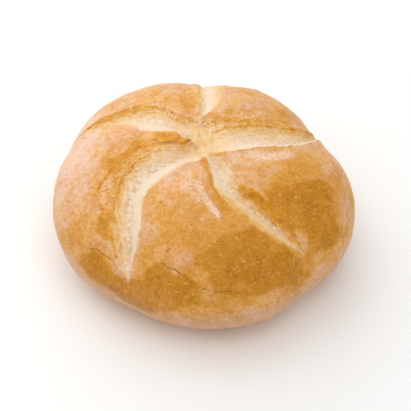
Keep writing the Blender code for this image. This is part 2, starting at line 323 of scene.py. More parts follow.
TONGUE_WIDTH = 1.3 * MM
PIT_RADIUS = 0.45 * MM
FLAKE_RIM = 0.2 * MM
FLAKE_HEIGHT = 0.8 * MM
FLAKE_RAGGEDNESS = 1.6 * MM
FLAKE_TEAR_SIZE = 1.3 * MM
EDGE_HEIGHT = 0.30 * MM  # of an edge that stuck up
EDGE_WANDER = 0.35 * MM
EDGE_WANDER_SIZE = 2 * MM
STRAND_WIDTH = 0.5 * MM
STRAND_HEIGHT = 0.45 * MM
FOLD_CREASE_DEPTH = 0.80 * MM
FOLD_CREASE_WIDTH = 0.7 * MM
CRACK_DEPTH = 0.25 * MM
CRACK_RUN = 0.40 * MM
CRACK_WANDER = 0.5 * MM
CRACK_WANDER_SIZE = 4 * MM
NUB_BEARING = 297.0  # a drop of dough low on the front
NUB_LEVEL = 11 * MM
NUB_HEIGHT = 1.3 * MM
NUB_RADIUS = 1.4 * MM
SIDE_HEIGHT = 13 * MM  # middle of the side that baked paler away from the oven's top heat, and where painted shade darkens the crust
SIDE_WIDTH = 9 * MM
FAR = 10 * MM  # a distance at which nothing more changes

# How brown the crust is, from 0, pale gold, to 1, deep brown
EVEN_BROWN = 0.37
BROAD_TONE = 0.09  # how far the tone strays over broad areas, and over small ones
BROAD_TONE_SIZE = 17 * MM
FINE_TONE = 0.06
FINE_TONE_SIZE = 5 * MM
PATCH_BROWN = 0.32  # what a patch adds for its strength
PATCH_STEP = 0.22  # what a patch adds all at once inside its ragged rim
PATCH_RIM = (0.20, 0.27)  # strengths between which this step rises
PATCH_RAGGEDNESS = 0.10
PATCH_TEAR_SIZE = 9 * MM
STAIN_BROWN = 0.07
STAIN_RIM = (0.02, 0.12)
STAIN_SIZE = 7 * MM
STAIN_MEAN = 0.03  # taken off again, so that stains leave the mean tone
TONGUE_BROWN = 0.22
EDGE_PALING = 0.08  # the crust beside a seam stayed paler
EDGE_PALING_RUN = 4 * MM
SIDE_PALING = 0.16

# How golden the torn dough is, and how far thin edges scorched, from 0 to 1
RIM_WIDTH = 0.6 * MM  # of a torn edge's browned line
CREST_SCORCH = 0.55  # on the ledges' crests, where the wall is fully golden
SPOT_SCORCH = 0.52
SPOT_PLACE = 1.2 * MM  # of the scorched spots, from the torn edge
SPOT_SPREAD = 1.8 * MM
HUB_GOLD = 0.30
HUB_SHARE = 0.20  # of the radius, within which the dough is more golden


def smooth_step(value):
    """0 below 0, 1 above 1, and a smooth rise in between."""
    clipped = np.clip(value, 0.0, 1.0)
    return clipped * clipped * (3.0 - 2.0 * clipped)


def bell(distance, width):
    """1 at no distance, and smoothly down to 0 a few widths away."""
    return np.exp(-((distance / width) ** 2))


def rough(points, size, octaves=3, shift=0.0):
    """Noise of about -1 to 1 at each point, in lumps of the given size or of a size for each axis.

    The shift picks another part of the noise, so that each use of it has a pattern of its own.
    """
    scaled = points / np.array(size) + shift
    return np.array([noise.fractal(point, 1.0, 2.0, octaves) for point in scaled.tolist()])


def through_stations(values, share):
    """A smooth curve through values at STATIONS, without overshoot, read at each share of the radius."""
    stations = np.array(STATIONS)
    heights = np.array(values, float)
    steepness = np.diff(heights) / np.diff(stations)
    product = steepness[:-1] * steepness[1:]
    total = np.where(product > 0.0, steepness[:-1] + steepness[1:], 1.0)
    middle_slopes = np.where(product > 0.0, 2.0 * product / total, 0.0)
    slopes = np.concatenate([steepness[:1], middle_slopes, steepness[-1:]])
    at = np.clip(share, stations[0], stations[-1])
    left = np.clip(np.searchsorted(stations, at, side="right") - 1, 0, len(stations) - 2)
    span = stations[left + 1] - stations[left]
    t = (at - stations[left]) / span
    rise = heights[left] * (2 * t**3 - 3 * t**2 + 1) + heights[left + 1] * (3 * t**2 - 2 * t**3)
    lean = slopes[left] * (t**3 - 2 * t**2 + t) + slopes[left + 1] * (t**3 - t**2)
    return rise + lean * span


def plan_radius(bearing):
    """The roll's outer radius in plan."""
    radius = np.ones_like(bearing)
    for lobes, cosine, sine in PLAN_WAVES:
        radius += cosine * np.cos(lobes * bearing) + sine * np.sin(lobes * bearing)
    return RADIUS * radius


def seam_edges(seam, share):
    """The bearings, in radians, of a seam's two crust edges."""
    clockwise = np.radians(through_stations(seam.clockwise_edge, share))
    anticlockwise = np.radians(through_stations(seam.anticlockwise_edge, share))
    middle = 0.5 * (clockwise + anticlockwise)
    half = 0.5 * (anticlockwise - clockwise) * np.sqrt(np.clip((seam.reach - share) / END_RUN, 0.0, 1.0))
    return middle - half, middle + half


def edge_lines(index):
    """Plan points along a seam's torn edge and its smooth edge, from the petals' tips to its end."""
    share = np.linspace(STATIONS[0], STATIONS[-1], EDGE_STEPS)
    clockwise, anticlockwise = seam_edges(SEAMS[index], share)
    before = seam_edges(SEAMS[index - 1], share)[1] - (2.0 * np.pi if index == 0 else 0.0)
    last = index == len(SEAMS) - 1
    after = seam_edges(SEAMS[0 if last else index + 1], share)[0] + (2.0 * np.pi if last else 0.0)
    is_open = anticlockwise > clockwise
    lines = []
    for bearing, in_petal in ((clockwise, clockwise > before), (anticlockwise, after > anticlockwise)):
        kept = is_open & in_petal
        line = share[kept, None] * RADIUS * np.stack([np.cos(bearing[kept]), np.sin(bearing[kept])], axis=1)
        lines.append(line)
    return lines if SEAMS[index].wall_is_clockwise else lines[::-1]


def distance_to(line, points):
    """The shortest distance from each point to a line of points, in plan or in space."""
    nearest = np.full(len(points), np.inf)
    for start, end in zip(line[:-1], line[1:]):
        run = end - start
        gap = points - start
        gap -= np.clip(gap @ (run / (run @ run)), 0.0, 1.0)[:, None] * run
        nearest = np.minimum(nearest, np.einsum("ij,ij->i", gap, gap))
    return np.sqrt(nearest)


def in_a_seam(share, bearing):
    """Whether a point lies between the two crust edges of any seam."""
    inside = np.zeros(share.shape, bool)
    for seam in SEAMS:
        clockwise, anticlockwise = seam_edges(seam, share)
        inside |= (bearing - clockwise) % (2.0 * np.pi) < anticlockwise - clockwise
    return inside


def flow_edges(share):
    """The bearings that the blank's columns follow: the seams' edges, kept in order and apart."""
    edges = [edge for seam in SEAMS for edge in seam_edges(seam, share)]
    edges.append(edges[0] + 2.0 * np.pi)
    edges = np.array(edges)
    least = np.radians(np.array(len(SEAMS) * [LEAST_SEAM_FLOW, LEAST_PETAL_FLOW]))[:, None]
    spare = np.clip(np.diff(edges, axis=0) - least, 0.0, None)
    widths = least + spare * (2.0 * np.pi - least.sum()) / spare.sum(axis=0)
    kept = np.vstack([np.zeros_like(share), np.cumsum(widths, axis=0)])
    return kept + (edges - kept)[:-1].mean(axis=0)


def column_bearing(share, turn):
    """The bearing of a column of the blank, from its turn of 0 to 1 round the blank."""
    edges = flow_edges(share)
    total = len(SEAMS) * (COLUMNS_IN_SEAM + COLUMNS_IN_PETAL)
    column = np.round(turn * total) % total
    bearing = np.zeros_like(share)
    first = 0
    for index in range(2 * len(SEAMS)):
        in_petal = index % 2 == 1
        columns = COLUMNS_IN_PETAL if in_petal else COLUMNS_IN_SEAM
        here = (column >= first) & (column < first + columns)
        along = (column - first) / columns
        if in_petal:
            along = along - PETAL_CROWDING * np.sin(2.0 * np.pi * along) / (2.0 * np.pi)
        bearing = np.where(here, edges[index] + along * (edges[index + 1] - edges[index]), bearing)
        first += columns
    return bearing


def meridian(latitude):
    """Share of the radius, height and outward normal (radial, up), from the hub at 0 to the foot at 1."""
    above = latitude < TOP_RING_SHARE
    top = 0.5 * np.pi * np.clip(latitude / TOP_RING_SHARE, 0.0, 1.0) ** GIRTH_RING_POWER
    below = 2.0 * np.clip((latitude - TOP_RING_SHARE) / (1.0 - TOP_RING_SHARE), 0.0, 1.0)
    side = 0.5 * np.pi * np.clip(below, 0.0, 1.0)
    foot = FOOT_RADIUS / RADIUS
    power = 2.0 / FULLNESS
    sine = np.clip(np.sin(top), 1e-9, 1.0)
    cosine = np.clip(np.cos(top), 1e-9, 1.0)
    lower = np.where(below <= 1.0, foot + (1.0 - foot) * np.cos(side), foot * (2.0 - below))
    share = np.where(above, sine**power, lower)
    dome = GIRTH_HEIGHT + (HEIGHT - GIRTH_HEIGHT) * cosine**power
    height = np.where(above, dome, GIRTH_HEIGHT * (1.0 - np.sin(side)))
    radial = np.where(above, sine ** (2 - power) / RADIUS, np.cos(side) / (RADIUS - FOOT_RADIUS))
    up = np.where(above, cosine ** (2 - power) / (HEIGHT - GIRTH_HEIGHT), -np.sin(side) / GIRTH_HEIGHT)
    length = np.hypot(radial, up)
    return share, height, radial / length, up / length, above


def laid_out(share, height, bearing, above, raised=0.0, radial=0.0, up=0.0):
    """Points of the dome, raised from it along its normal, as rows of x, y, z."""
    outward = share * plan_radius(bearing) + raised * radial
    lean = np.where(above, 1.0 - share**2, 0.0)
    x = outward * np.cos(bearing) + HUB_SHIFT[0] * lean
    y = outward * np.sin(bearing) + HUB_SHIFT[1] * lean
    return np.stack([x, y, height + raised * up], axis=1)


def on_top(places):
    """Points of the dome's top, from pairs of bearing in degrees and share of the radius."""
    bearing, share = np.array(places, float).T
    dome = (1.0 - np.clip(share, 0.0, 1.0) ** FULLNESS) ** (1.0 / FULLNESS)
    height = GIRTH_HEIGHT + (HEIGHT - GIRTH_HEIGHT) * dome
    return laid_out(share, height, np.radians(bearing), True)


def on_side(bearing, level):
    """A point of the roll's side under the girth, from its bearing in degrees and its height."""
    foot = FOOT_RADIUS / RADIUS
    share = foot + (1.0 - foot) * np.sqrt(1.0 - (1.0 - level / GIRTH_HEIGHT) ** 2)
    return laid_out(np.array([share]), np.array([level]), np.radians([bearing]), False)[0]


class Tears:
    """How each point lies to the seams: distances in metres, and what the nearest seams are like."""

    def __init__(self, share, bearing, points):
        plan = share[:, None] * RADIUS * np.stack([np.cos(bearing), np.sin(bearing)], axis=1)
        from_wall = np.full(len(plan), np.inf)
        from_shoulder = np.full(len(plan), np.inf)
        weights = np.zeros(len(plan))
        rows = [name for name, value in vars(SEAMS[0]).items() if isinstance(value, tuple)]
        blended = {name: np.zeros(len(plan)) for name in rows}
        for index, seam in enumerate(SEAMS):
            wall, shoulder = (distance_to(line, plan) for line in edge_lines(index))
            from_wall = np.minimum(from_wall, wall)
            from_shoulder = np.minimum(from_shoulder, shoulder)
            weight = np.exp(-np.minimum(wall, shoulder) / BLEND_WIDTH)
            weights += weight
            for name, total in blended.items():
                total += weight * through_stations(getattr(seam, name), share)
            if index == FOLDED_SEAM:
                self.from_fold = shoulder - FOLD_INSET
        for name, total in blended.items():
            setattr(self, name, total / weights)
        nearer_wall = from_wall < from_shoulder
        by_wall = smooth_step(1.5 - 3.0 * from_wall / (from_wall + from_shoulder))
        self.softness = self.shoulder_softness + by_wall * (self.wall_softness - self.shoulder_softness)
        self.sharp = 1.0 - smooth_step(self.wall_softness / SOFT_EDGE)
        near_hub = 1.0 + 2.0 * bell(share, 0.28)
        strays = SHOULDER_RAGGEDNESS * near_hub * rough(points, SHOULDER_TEAR_SIZE, 4, 3.0)
        strays += by_wall * WALL_RAGGEDNESS * rough(points, WALL_TEAR_SIZE, 4, 11.0)
        nearest = np.minimum(from_wall, from_shoulder)
        self.edge = np.where(in_a_seam(share, bearing), nearest, -nearest) + strays
        self.from_wall = np.where(nearer_wall, self.edge, from_wall)
        self.from_shoulder = np.where(nearer_wall, from_shoulder, self.edge)
        wall_side = np.clip(self.from_wall, 0.0, None)
        self.width = wall_side + np.clip(self.from_shoulder, 0.0, None)
        self.across = wall_side / self.width
        self.outside = np.clip(-self.edge, 0.0, None)
        self.open = smooth_step(self.edge / OPENING_RUN)
        self.on_wall = self.open * (1.0 - smooth_step((self.across - 0.7 * self.crease) / 0.35))
        self.past_crease = np.clip((self.across - self.crease) / (1.0 - self.crease), 0.0, 1.0)
        self.flow = np.stack([share * RADIUS, self.from_wall, 0.3 * share * RADIUS], axis=1)
        wander = LEDGE_WANDER * rough(self.flow, LEDGE_WANDER_SIZE, 3, 5.0)
        self.ledge = (self.from_wall / LEDGE_SPACING + wander) % 1.0
        self.crest = self.on_wall * bell(self.ledge - LEDGE_RISE, 0.16)


def seam_form(share, tears):
    """The relief that the solid has as well: grooves, the petals' dip to them, curled lips and the fold."""
    sudden = WALL_DROP * tears.sharp
    steep = sudden * smooth_step(tears.from_wall / WALL_RUN)
    slope = (1.0 - sudden) * smooth_step(tears.across / tears.crease)
    shoulder = 1.0 - np.sin(0.5 * np.pi * tears.past_crease)
    depth = tears.depth * MM * smooth_step(tears.width / FULL_WIDTH)
    valley = VALLEY_DEPTH * bell(tears.outside, VALLEY_WIDTH)
    lip = LIP_HEIGHT * bell(tears.from_wall, np.where(tears.edge > 0.0, WALL_RUN, LIP_WIDTH))
    start, end = FOLD_SHARES
    along = np.clip((share - start) / (end - start), 0.0, 1.0)
    fold = FOLD_HEIGHT * bell(tears.from_fold, FOLD_WIDTH) * np.sin(np.pi * along)
    groove = depth * np.minimum(steep + slope, shoulder)
    return lip * tears.sharp - valley - groove + (1.0 - tears.open) * fold


def torn_dough(tears, points):
    """The torn walls' ledges and strands, the open bubbles in the creases and the strands at the hub."""
    step = smooth_step(tears.ledge / LEDGE_RISE) - tears.ledge
    pulled = PULLED_HEIGHT * rough(tears.flow, PULLED_SIZE, 3, 21.0)
    bubbles = smooth_step((rough(points, BUBBLE_SIZE, 2, 31.0) - 0.12) / 0.3)
    near_crease = bell(tears.across - tears.crease, BESIDE_CREASE) * tears.open * tears.pitting
    relief = LEDGE_HEIGHT * step * tears.on_wall + pulled * (0.2 * tears.open + 0.8 * tears.on_wall)
    relief -= BUBBLE_DEPTH * bubbles * near_crease
    for places in STRANDS:
        relief += STRAND_HEIGHT * bell(distance_to(on_top(places), points), STRAND_WIDTH)
    return relief


def blisters(points):
    """Low round bubbles under the skin, of many sizes."""
    raised = []
    for point in (points / BLISTER_SPACING).tolist():
        distances, spots = noise.voronoi(point)
        size = 0.5 + noise.cell(spots[0] * 7.0)
        raised.append(max(0.0, 1.0 - (distances[0] * BLISTER_SPACING / BLISTER_RADIUS / size) ** 2))
    return BLISTER_HEIGHT * np.array(raised)


def crust_skin(tears, points):
    """The closed crust's hollows, wrinkles and blisters, and its own thickness at a smooth edge."""
    broad = UNEVENNESS * rough(points, UNEVEN_SIZE, 3, 41.0)
    wrinkles = WRINKLE_HEIGHT * rough(points, WRINKLE_SIZE, 3, 51.0)
    by_shoulder = bell(tears.from_shoulder, CRUST_ROUNDING)
    by_shoulder *= smooth_step(2.0 * tears.outside / CRUST_THICKNESS)
    skin = wrinkles + blisters(points) + CRUST_THICKNESS * by_shoulder
    return broad + (1.0 - tears.open) * skin


def crack_distance(points):
    """How far each point is from the nearest crack or pit's rim, up to FAR."""
    nearest = np.full(len(points), FAR)
    wander = CRACK_WANDER * rough(points, CRACK_WANDER_SIZE, 3, 61.0)
    for places in CRACKS:
        nearest = np.minimum(nearest, distance_to(on_top(places), points + wander[:, None]))
    for place in PITS:
        gap = np.linalg.norm(points - on_top((place,)), axis=1) - 0.5 * PIT_RADIUS
        nearest = np.minimum(nearest, np.clip(gap, 0.0, None))
    return nearest


def tip_flake(tears, points):
    """1 on the flake of crust that tore off at the left petal's tip, 0 off it, with a jagged rim."""
    ragged = FLAKE_RAGGEDNESS * rough(points, FLAKE_TEAR_SIZE, 4, 141.0)
    inside = np.full(len(points), -FAR)
    for width, places in TIP_FLAKE:
        inside = np.maximum(inside, width + ragged - distance_to(on_top(places), points))
    return (1.0 - tears.open) * smooth_step(inside / FLAKE_RIM)


def browned_edges(points):
    """1 on the thin edges that stuck up and browned first, 0 away from them, in wandering lines."""
    wander = EDGE_WANDER * rough(points, EDGE_WANDER_SIZE, 3, 151.0)
    strayed = points + wander[:, None]
    browned = np.zeros(len(points))
    for width, strength, places in BROWNED_EDGES:
        browned = np.maximum(browned, strength * bell(distance_to(on_top(places), strayed), width))
    return browned


def marked_crust(tears, points, crack, flake, edges):
    """The raised flake and edges, the crease beside the fold, cracks, pits and the drop of dough."""
    raised = FLAKE_HEIGHT * flake + EDGE_HEIGHT * edges
    crease = bell(distance_to(on_top(FOLD_CREASE), points), FOLD_CREASE_WIDTH)
    raised -= FOLD_CREASE_DEPTH * crease * (1.0 - tears.open)
    raised -= CRACK_DEPTH * bell(crack, CRACK_RUN)
    nub = np.linalg.norm(points - on_side(NUB_BEARING, NUB_LEVEL), axis=1)
    return raised + NUB_HEIGHT * bell(nub, NUB_RADIUS)


def browning(height, tears, points):
    """How brown the crust is: ragged patches and stains, and paler beside the seams and at the side."""
    brown = EVEN_BROWN + BROAD_TONE * rough(points, BROAD_TONE_SIZE, 3, 71.0)
    brown += FINE_TONE * rough(points, FINE_TONE_SIZE, 3, 81.0)
    patches = np.zeros(len(points))
    for bearing, at, reach, strength in BROWNED:
        middle = on_top(((bearing, at),))
        patches += strength * bell(np.linalg.norm(points - middle, axis=1), reach)
    ragged = patches + PATCH_RAGGEDNESS * rough(points, PATCH_TEAR_SIZE, 4, 101.0)
    start, end = PATCH_RIM
    brown += PATCH_BROWN * patches + PATCH_STEP * smooth_step((ragged - start) / (end - start))
    start, end = STAIN_RIM
    stains = smooth_step((rough(points, STAIN_SIZE, 5, 161.0) - start) / (end - start))
    brown += STAIN_BROWN * stains - STAIN_MEAN
    brown += TONGUE_BROWN * bell(distance_to(on_top(TONGUE), points), TONGUE_WIDTH)
    brown -= EDGE_PALING * bell(tears.outside, EDGE_PALING_RUN)
    brown -= SIDE_PALING * bell(height - SIDE_HEIGHT, SIDE_WIDTH)
    return np.clip(brown, 0.0, 1.0)


def scorching(tears, flake, edges):
    """How far thin edges have browned: torn edges, the crests of ledges, the flake and the petals' tips."""
    rim = tears.scorch * bell(tears.from_wall, RIM_WIDTH)
    crest = CREST_SCORCH * tears.crest * tears.wall_gold
    spots = SPOT_SCORCH * tears.open * tears.wall_gold * bell(tears.from_wall - SPOT_PLACE, SPOT_SPREAD)
    return np.clip(np.maximum.reduce([rim, crest, spots, flake, edges]), 0.0, 1.0)


def gold(share, tears):
    """How golden the torn dough has baked: most at the torn edge, least at the crease."""
    down = 1.0 - smooth_step(tears.across / np.clip(1.1 * tears.crease, 0.3, 1.0))
    up = smooth_step((tears.past_crease - 0.35) / 0.65)
    floor = tears.shoulder_gold * (0.4 + 0.6 * up)
    return np.clip(tears.wall_gold * down + floor + HUB_GOLD * bell(share, HUB_SHARE), 0.0, 1.0)


def hollows(share, tears):
    """Where torn bubbles lie open and get painted grey shade: on the wall's side of the creases, outside
    the hub.
    """
    open_width = smooth_step((tears.width - 2 * MM) / (3 * MM))
    beside = bell(tears.across - tears.crease + 0.04, BESIDE_CREASE)
    return tears.pitting * beside * open_width * smooth_step((share - 0.12) / 0.1)


def flour_and_glints(points):
    """Where the crust is pale and floury with small blisters, in streaks, and where glints on the blisters
    are painted.
    """
    dusted = np.zeros(len(points))
    for width, strength, places in FLOURY_AND_GLINTING_STREAKS:
        dusted = np.maximum(dusted, strength * bell(distance_to(on_top(places), points), width))
    return dusted


def turned_blank():
    """A closed sphere of radius 1: a grid wrapped round it, with its sides and its poles joined."""
    shape = bmesh.new()
    columns = len(SEAMS) * (COLUMNS_IN_SEAM + COLUMNS_IN_PETAL)
    bmesh.ops.create_grid(shape, x_segments=columns, y_segments=RINGS, size=0.5)
    rim = [vertex for vertex in shape.verts if vertex.is_boundary]
    for vertex in shape.verts:
        turn, latitude = 2.0 * np.pi * (vertex.co.x + 0.5), np.pi * (0.5 - vertex.co.y)
        ring = np.sin(latitude)
        vertex.co = (ring * np.cos(turn), ring * np.sin(turn), np.cos(latitude))
    bmesh.ops.remove_doubles(shape, verts=rim, dist=1e-5)
    return shape


def bread_roll_crust():
    """The whole roll as one closed piece, with the marks of its baking as attributes."""
    shape = turned_blank()
    blank = np.array([vertex.co.to_tuple() for vertex in shape.verts])
    latitude = np.arccos(np.clip(blank[:, 2], -1.0, 1.0)) / np.pi
    turn = (np.arctan2(blank[:, 1], blank[:, 0]) / (2.0 * np.pi)) % 1.0
    share, height, radial, up, above = meridian(latitude)
    bearing = column_bearing(np.where(above, share, 1.0), turn)
    dome = laid_out(share, height, bearing, above)
    tears = Tears(np.where(above, share, 2.0 - share), bearing, dome)
    crack = crack_distance(dome)
    flake = tip_flake(tears, dome)
    edges = browned_edges(dome)
    raised = seam_form(share, tears) + torn_dough(tears, dome) + crust_skin(tears, dome)
    raised += marked_crust(tears, dome, crack, flake, edges)
    raised *= np.where(above, 1.0, smooth_step(2.0 * height / GIRTH_HEIGHT))
    placed = laid_out(share, height, bearing, above, raised, radial, up)
    shift = 0.5 * (np.array(cad_low) + np.array(cad_high)) - 0.5 * (placed.min(axis=0) + placed.max(axis=0))
    placed[:, :2] += shift[:2]
    for vertex, point in zip(shape.verts, placed.tolist()):
        vertex.co = point
    mesh = bpy.data.meshes.new("bread_roll_crust")
    shape.to_mesh(mesh)
    shape.free()
    mesh.shade_smooth()
    marks = {
        "torn": np.clip(tears.edge / MM / np.maximum(tears.softness, SHARPEST_EDGE), -6.0, 6.0),
        "gold": gold(share, tears),
        # Where open bubbles beside the creases get painted grey shade
        "pit_shade": hollows(share, tears),
        "browning": browning(height, tears, dome),
        "scorch": scorching(tears, flake, edges),
        # Floury streaks, with painted glints on their blisters
        "flour_and_glints": flour_and_glints(dome),
        # Distance to cracks and pits, which the material darkens with painted shade
        "crack": crack / MM,
        # side: where painted shade darkens and dulls the crust's lower side
        "side": bell(height - SIDE_HEIGHT, SIDE_WIDTH),
    }
    for name, values in marks.items():
        mesh.attributes.new(name, "FLOAT", "POINT").data.foreach_set("value", values.astype(np.float32))
    flow = tears.flow.astype(np.float32).ravel()
    mesh.attributes.new("flow", "FLOAT_VECTOR", "POINT").data.foreach_set("vector", flow)
    roll = bpy.data.objects.new("bread_roll_crust", mesh)
    bpy.context.scene.collection.objects.link(roll)
    return roll


def linear(colour):
    """A linear colour with alpha, from an sRGB hex value."""
    channels = [int(colour[at : at + 2], 16) / 255.0 for at in (1, 3, 5)]
    return (*(c / 12.92 if c <= 0.04045 else ((c + 0.055) / 1.055) ** 2.4 for c in channels), 1.0)


def add_node(tree, kind, inputs=None, output=0, stops=(), **settings):
    """Adds a shader node with its settings, ramp, and inputs as values or links, and gives an output."""
    node = tree.nodes.new("ShaderNode" + kind)
    for name, value in settings.items():
        setattr(node, name, value)
    for at, (position, colour) in enumerate(stops):
        elements = node.color_ramp.elements
        element = elements[at] if at < len(elements) else elements.new(position)
        element.position = position
        element.color = linear(colour)
    for name, value in (inputs or {}).items():
        if isinstance(value, bpy.types.NodeSocket):
            tree.links.new(value, node.inputs[name])
        else:
            node.inputs[name].default_value = value
    return node.outputs[output]


# The marks that the material reads from the mesh
MARKS = ("browning", "torn", "gold", "pit_shade", "scorch", "flour_and_glints", "crack", "side")

# The material's patterns: the size of their lumps, and their detail
PATTERNS = {
    "rosy": (10.0 * MM, 3.0),
    "mottle": (2.6 * MM, 4.0),
    "grain": (0.9 * MM, 3.0),
    "pores": (1.3 * MM, 3.0),
    "flecks": (1.1 * MM, 1.0),
    # specks of flour and of painted glints
    "dust_and_glints": (0.6 * MM, 2.0),
}
STREAK_LENGTH = 2.4 * MM  # of the streaks on torn dough, along the tear
STREAK_WIDTH = 0.7 * MM

# Colours by how brown the crust is, from pale to deep
GOLDEN_CRUST = (
    (0.00, "#f1cba0"),
    (0.20, "#ebb97c"),
    (0.40, "#dfa04b"),
    (0.60, "#cf8c2a"),
    (0.80, "#bd7b14"),
    (1.00, "#a2640a"),
)
ROSY_CRUST = (
    (0.00, "#f1cdb8"),
    (0.20, "#eabd9b"),
    (0.40, "#dda069"),
    (0.60, "#cd8a3c"),
    (0.80, "#bc791c"),
    (1.00, "#a2620c"),
)
# Painted shade on the crust's lower side: darker, duller colours by how brown the crust is
SIDE_SHADE_CRUST = ((0.00, "#dfb595"), (0.25, "#d4a580"), (0.45, "#c48e5c"), (0.70, "#ac7038"))
PALE_FLECK = "#e2ab60"
# Flour and painted glints on the blisters of the floury streaks
FLOUR_AND_GLINT_CRUST = "#f6dccb"
# Painted shade down in the cracks and pits
CRACK_SHADE = "#96601f"
SCORCHED_EDGE = ((0.35, "#e2a63c"), (0.50, "#d8912a"), (0.62, "#c87c1c"))

# Colours by how golden the torn dough is, and the painted grey shade in its open bubbles
TORN_DOUGH = (
    (0.05, "#f0dcc4"),
    (0.25, "#f0cfa5"),
    (0.50, "#e8b972"),
    (0.75, "#dc9f48"),
    (1.00, "#cf8a2a"),
)
PIT_SHADE = "#c9a67e"

# Gloss and depth
CRUST_ROUGHNESS = 0.48
DOUGH_ROUGHNESS = 0.85
BUMP_HEIGHT = 0.25 * MM
LIGHT_DEPTH = 1.0 * MM  # how far light soaks into the dough


def crust_colour(tree, marks, patterns, blotch):
    """Closed crust: rosy or golden, darker where brown, with painted shade on the lower side, flecks,
    floury streaks with painted glints, and painted shade in cracks and pits.
    """
    fine = {"Value": patterns["grain"], "From Min": 0.30, "From Max": 0.70, "To Min": -0.11, "To Max": 0.11}
    fine = add_node(tree, "MapRange", fine)
    brown = add_node(tree, "Math", {0: marks["browning"], 1: blotch}, operation="ADD")
    brown = add_node(tree, "Math", {0: brown, 1: fine}, operation="ADD")
    golden_crust = add_node(tree, "ValToRGB", {"Fac": brown}, stops=GOLDEN_CRUST)
    rosy_crust = add_node(tree, "ValToRGB", {"Fac": brown}, stops=ROSY_CRUST)
    side_shade_crust = add_node(tree, "ValToRGB", {"Fac": brown}, stops=SIDE_SHADE_CRUST)

    pale = {"Value": marks["browning"], "From Max": 0.5, "To Min": 0.45, "To Max": 0.0}
    pale = add_node(tree, "MapRange", pale)
    rosy = add_node(tree, "Math", {0: patterns["rosy"], 1: pale}, operation="ADD")
    rosy = {"Value": rosy, "From Min": 0.46, "From Max": 0.88}
    rosy = add_node(tree, "MapRange", rosy, interpolation_type="SMOOTHSTEP")
    # Painted shade on the lower side, mixed in with the blotches
    side_shade = add_node(tree, "Math", {0: marks["side"], 1: blotch}, operation="ADD")
    side_shade = {"Value": side_shade, "From Min": 0.15, "From Max": 0.95, "To Max": 0.85}
    side_shade = add_node(tree, "MapRange", side_shade, interpolation_type="SMOOTHSTEP")
    flecked = {"Value": patterns["flecks"], "From Min": 0.60, "From Max": 0.70, "To Max": 0.55}
    flecked = add_node(tree, "MapRange", flecked, interpolation_type="SMOOTHSTEP")
    # Flour specks and painted glints, only within the floury streaks
    flour_and_glint_specks = {"Value": patterns["dust_and_glints"], "From Min": 0.35, "From Max": 0.60, "To Min": 0.15}
    flour_and_glint_specks = add_node(tree, "MapRange", flour_and_glint_specks)
    flour_and_glint_specks = add_node(tree, "Math", {0: marks["flour_and_glints"], 1: flour_and_glint_specks}, operation="MULTIPLY")
    flour_and_glint_specks = {"Value": flour_and_glint_specks, "From Min": 0.05, "From Max": 0.90, "To Max": 0.85}
    flour_and_glint_specks = add_node(tree, "MapRange", flour_and_glint_specks, interpolation_type="SMOOTHSTEP")
    # Painted shade in the cracks and pits: a thin dark brown line
    crack_shade = {"Value": marks["crack"], "From Min": 0.12, "From Max": 0.34, "To Min": 1.0, "To Max": 0.0}
    crack_shade = add_node(tree, "MapRange", crack_shade, interpolation_type="SMOOTHSTEP")

    crust = golden_crust
    layers = (
        (rosy, rosy_crust),
        (side_shade, side_shade_crust),
        (flecked, linear(PALE_FLECK)),
        (flour_and_glint_specks, linear(FLOUR_AND_GLINT_CRUST)),
        (crack_shade, linear(CRACK_SHADE)),
    )
    for share, colour in layers:
        crust = add_node(tree, "Mix", {0: share, 6: crust, 7: colour}, output=2, data_type="RGBA")
    return crust


def dough_colour(tree, marks, patterns, blotch):
    """Torn dough: cream to golden in streaks along the tear, with painted grey shade in its open bubbles.
    """
    flow = add_node(tree, "Attribute", output="Vector", attribute_name="flow")
    stretched = (1.0 / STREAK_LENGTH, 1.0 / STREAK_WIDTH, 1.0)
    flow = add_node(tree, "Mapping", {"Vector": flow, "Scale": stretched})
    streaks = {"Vector": flow, "Scale": 1.0, "Detail": 4.0, "Roughness": 0.65}
    streaks = add_node(tree, "TexNoise", streaks)
    streaked = {"Value": streaks, "From Min": 0.35, "From Max": 0.65, "To Min": -0.16, "To Max": 0.16}
    streaked = add_node(tree, "MapRange", streaked, interpolation_type="SMOOTHSTEP")
    contrast = add_node(tree, "MapRange", {"Value": marks["gold"], "From Max": 0.45, "To Min": 0.15})
    streaked = add_node(tree, "Math", {0: streaked, 1: contrast}, operation="MULTIPLY")
    golden = add_node(tree, "Math", {0: marks["gold"], 1: streaked}, operation="ADD")
    golden = add_node(tree, "Math", {0: golden, 1: blotch}, operation="ADD")
    dough = add_node(tree, "ValToRGB", {"Fac": golden}, stops=TORN_DOUGH)
    # Painted grey shade in the open bubbles beside the crease
    pit_shade_mask = {"Value": patterns["pores"], "From Min": 0.46, "From Max": 0.60, "To Max": 0.7}
    pit_shade_mask = add_node(tree, "MapRange", pit_shade_mask)
    pit_shade_mask = add_node(tree, "Math", {0: marks["pit_shade"], 1: pit_shade_mask}, operation="MULTIPLY")
    pit_shade_colour = linear(PIT_SHADE)
    return add_node(tree, "Mix", {0: pit_shade_mask, 6: dough, 7: pit_shade_colour}, output=2, data_type="RGBA")


def scorched_colour(tree, marks, patterns, surface):
    """The surface with its thin edges browned, in broken lines."""
    broken = {"Value": patterns["grain"], "From Min": 0.3, "From Max": 0.7, "To Min": -0.35, "To Max": 0.35}
    broken = add_node(tree, "MapRange", broken)
    scorch = add_node(tree, "Math", {0: marks["scorch"], 1: broken}, operation="ADD")
    scorch = {"Value": scorch, "From Min": 0.25, "From Max": 0.65, "To Max": 0.9}
    scorch = add_node(tree, "MapRange", scorch, interpolation_type="SMOOTHSTEP")
    edge = add_node(tree, "ValToRGB", {"Fac": patterns["mottle"]}, stops=SCORCHED_EDGE)
    return add_node(tree, "Mix", {0: scorch, 6: surface, 7: edge}, output=2, data_type="RGBA")


